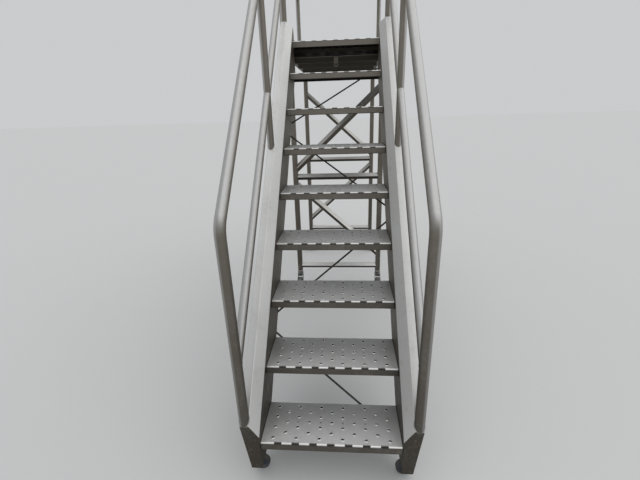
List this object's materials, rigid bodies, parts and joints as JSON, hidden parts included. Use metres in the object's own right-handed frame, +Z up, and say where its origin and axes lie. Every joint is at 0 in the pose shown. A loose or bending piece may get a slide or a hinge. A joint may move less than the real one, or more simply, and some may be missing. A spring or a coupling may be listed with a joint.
{
  "type": "mobile platform stair",
  "caption": "Steep rolling stair of folded sheet and tube, with punched treads, tube handrails and a guarded platform on a braced tower.",
  "frame": {"origin": "on the floor, under the middle of the whole stair", "axes": "+X to the right of someone going up, +Y along the way up the flight, +Z up"},
  "size_m": [0.81, 2.9042, 3.1187],
  "materials": {
    "stringer": "pickled sheet, dull",
    "tread": "walked-on sheet, punched",
    "deck_sheet": "walked-on sheet, dull",
    "tower_tube": "square tube, brushed",
    "brace_tube": "square tube, brushed",
    "rail_tube": "round tube, ground fine",
    "rod": "drawn rod, dull",
    "plate": "cut plate, dull",
    "front_hub": "moulded, blue grey",
    "front_tyre": "black, scuffed",
    "castor_steel": "pressed, plated",
    "castor_hub": "moulded, dark grey",
    "castor_tyre": "black, scuffed"
  },
  "bodies": {
    "frame": {"stringer_left": "stringer", "stringer_right": "stringer", "tread_1": "tread", "tread_2": "tread", "tread_3": "tread", "tread_4": "tread", "tread_5": "tread", "tread_6": "tread", "tread_7": "tread", "tread_8": "tread", "deck": "deck_sheet", "toe_boards": "deck_sheet", "deck_ribs": "plate", "centre_lug": "plate", "side_beams": "tower_tube", "cross_beams": "tower_tube", "legs_near": "tower_tube", "legs_far": "tower_tube", "rails_near": "tower_tube", "rails_far": "tower_tube", "braces_near": "brace_tube", "braces_far": "brace_tube", "tie_rods": "rod", "handrail_left": "rail_tube", "handrail_right": "rail_tube", "knee_rail_left": "rail_tube", "knee_rail_right": "rail_tube", "baluster_left": "rail_tube", "baluster_right": "rail_tube", "guard_left": "rail_tube", "guard_right": "rail_tube", "guard_knee_rails": "rail_tube", "post_plates": "plate", "front_cheeks": "plate", "castor_heads": "castor_steel"},
    "front_wheel_left": {"front_hub_left": "front_hub", "front_tyre_left": "front_tyre"},
    "front_wheel_right": {"front_hub_right": "front_hub", "front_tyre_right": "front_tyre"},
    "castor_1": {"castor_fork_1": "castor_steel"},
    "castor_wheel_1": {"castor_hub_1": "castor_hub", "castor_tyre_1": "castor_tyre"},
    "castor_2": {"castor_fork_2": "castor_steel"},
    "castor_wheel_2": {"castor_hub_2": "castor_hub", "castor_tyre_2": "castor_tyre"},
    "castor_3": {"castor_fork_3": "castor_steel"},
    "castor_wheel_3": {"castor_hub_3": "castor_hub", "castor_tyre_3": "castor_tyre"},
    "castor_4": {"castor_fork_4": "castor_steel"},
    "castor_wheel_4": {"castor_hub_4": "castor_hub", "castor_tyre_4": "castor_tyre"}
  },
  "joints": [
    {"name": "front_wheel_left_spin", "type": "hinge", "parent": "frame", "child": "front_wheel_left", "pos_m": [-0.321, -1.3769, 0.0375], "axis": [0, 1, 0], "continuous": true},
    {"name": "front_wheel_right_spin", "type": "hinge", "parent": "frame", "child": "front_wheel_right", "pos_m": [0.321, -1.3769, 0.0375], "axis": [0, 1, 0], "continuous": true},
    {"name": "castor_1_swivel", "type": "hinge", "parent": "frame", "child": "castor_1", "pos_m": [-0.34, 0.3481, 0.1807], "axis": [0, 0, 1], "continuous": true},
    {"name": "castor_1_spin", "type": "hinge", "parent": "castor_1", "child": "castor_wheel_1", "pos_m": [-0.34, 0.3031, 0.075], "axis": [1, 0, 0], "continuous": true},
    {"name": "castor_2_swivel", "type": "hinge", "parent": "frame", "child": "castor_2", "pos_m": [0.34, 0.3481, 0.1807], "axis": [0, 0, 1], "continuous": true},
    {"name": "castor_2_spin", "type": "hinge", "parent": "castor_2", "child": "castor_wheel_2", "pos_m": [0.34, 0.3031, 0.075], "axis": [1, 0, 0], "continuous": true},
    {"name": "castor_3_swivel", "type": "hinge", "parent": "frame", "child": "castor_3", "pos_m": [-0.34, 1.4221, 0.1807], "axis": [0, 0, 1], "continuous": true},
    {"name": "castor_3_spin", "type": "hinge", "parent": "castor_3", "child": "castor_wheel_3", "pos_m": [-0.34, 1.3771, 0.075], "axis": [1, 0, 0], "continuous": true},
    {"name": "castor_4_swivel", "type": "hinge", "parent": "frame", "child": "castor_4", "pos_m": [0.34, 1.4221, 0.1807], "axis": [0, 0, 1], "continuous": true},
    {"name": "castor_4_spin", "type": "hinge", "parent": "castor_4", "child": "castor_wheel_4", "pos_m": [0.34, 1.3771, 0.075], "axis": [1, 0, 0], "continuous": true}
  ]
}
